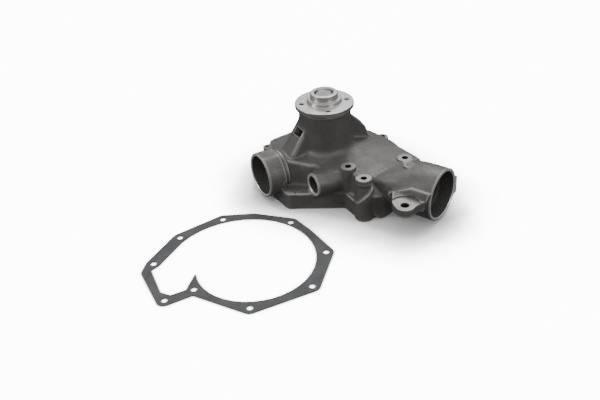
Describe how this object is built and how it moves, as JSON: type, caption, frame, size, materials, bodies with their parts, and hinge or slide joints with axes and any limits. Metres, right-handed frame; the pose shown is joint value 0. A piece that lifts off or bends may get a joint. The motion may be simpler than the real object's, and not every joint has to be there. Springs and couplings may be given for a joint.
{
  "type": "coolant pump",
  "caption": "Engine coolant pump: cast-iron spiral housing with three ports, belt-pulley hub on a shaft in ball bearings, face seal, impeller and a loose joint gasket.",
  "frame": {"origin": "where the shaft's axis meets the joint face", "axes": "+Z along the shaft from the joint face to the pulley hub, -X out of the medium port"},
  "size_m": [0.4476, 0.3303, 0.1438],
  "materials": {
    "cast_iron": "as cast, fine sand texture",
    "impeller_iron": "as cast, turned rim",
    "gasket_fibre": "matt fibre sheet",
    "turned_steel": "turned",
    "shaft_steel": "ground",
    "bearing_steel": "ground",
    "plain_steel": "satin",
    "brass": "pressed",
    "rubber": "matt",
    "carbon": "lapped carbon",
    "ceramic": "lapped ceramic"
  },
  "bodies": {
    "pump_housing": {"housing": "cast_iron", "bearing_outer_upper": "bearing_steel", "bearing_outer_lower": "bearing_steel", "bearing_shields_upper": "bearing_steel", "bearing_shields_lower": "bearing_steel", "spacer_outer": "plain_steel", "bore_circlip": "plain_steel", "seal_cup": "brass", "seal_spring": "plain_steel", "seal_bellows": "rubber", "seal_carbon_ring": "carbon"},
    "rotor": {"drive_hub": "turned_steel", "shaft": "shaft_steel", "impeller": "impeller_iron", "bearing_inner_upper": "bearing_steel", "bearing_inner_lower": "bearing_steel", "spacer_inner": "plain_steel", "dust_slinger": "plain_steel", "water_slinger": "rubber", "seal_seat": "ceramic", "seal_seat_boot": "rubber"},
    "ball_set_upper": {"bearing_balls_upper": "bearing_steel", "bearing_cage_upper": "brass"},
    "ball_set_lower": {"bearing_balls_lower": "bearing_steel", "bearing_cage_lower": "brass"},
    "gasket": {"joint_gasket": "gasket_fibre"}
  },
  "joints": [
    {"name": "shaft_spin", "type": "hinge", "parent": "pump_housing", "child": "rotor", "pos_m": [0, 0, 0.1], "axis": [0, 0, 1], "continuous": true},
    {"name": "upper_balls_spin", "type": "hinge", "parent": "pump_housing", "child": "ball_set_upper", "pos_m": [0, 0, 0.109], "axis": [0, 0, 1], "continuous": true},
    {"name": "lower_balls_spin", "type": "hinge", "parent": "pump_housing", "child": "ball_set_lower", "pos_m": [0, 0, 0.09], "axis": [0, 0, 1], "continuous": true},
    {"name": "gasket_lift", "type": "slide", "parent": "pump_housing", "child": "gasket", "axis": [0, 0, 1], "range_m": [0, 0.05]}
  ],
  "couplings": [
    {"joint": "upper_balls_spin", "follows": "shaft_spin", "ratio": 0.36782},
    {"joint": "lower_balls_spin", "follows": "shaft_spin", "ratio": 0.36782}
  ]
}
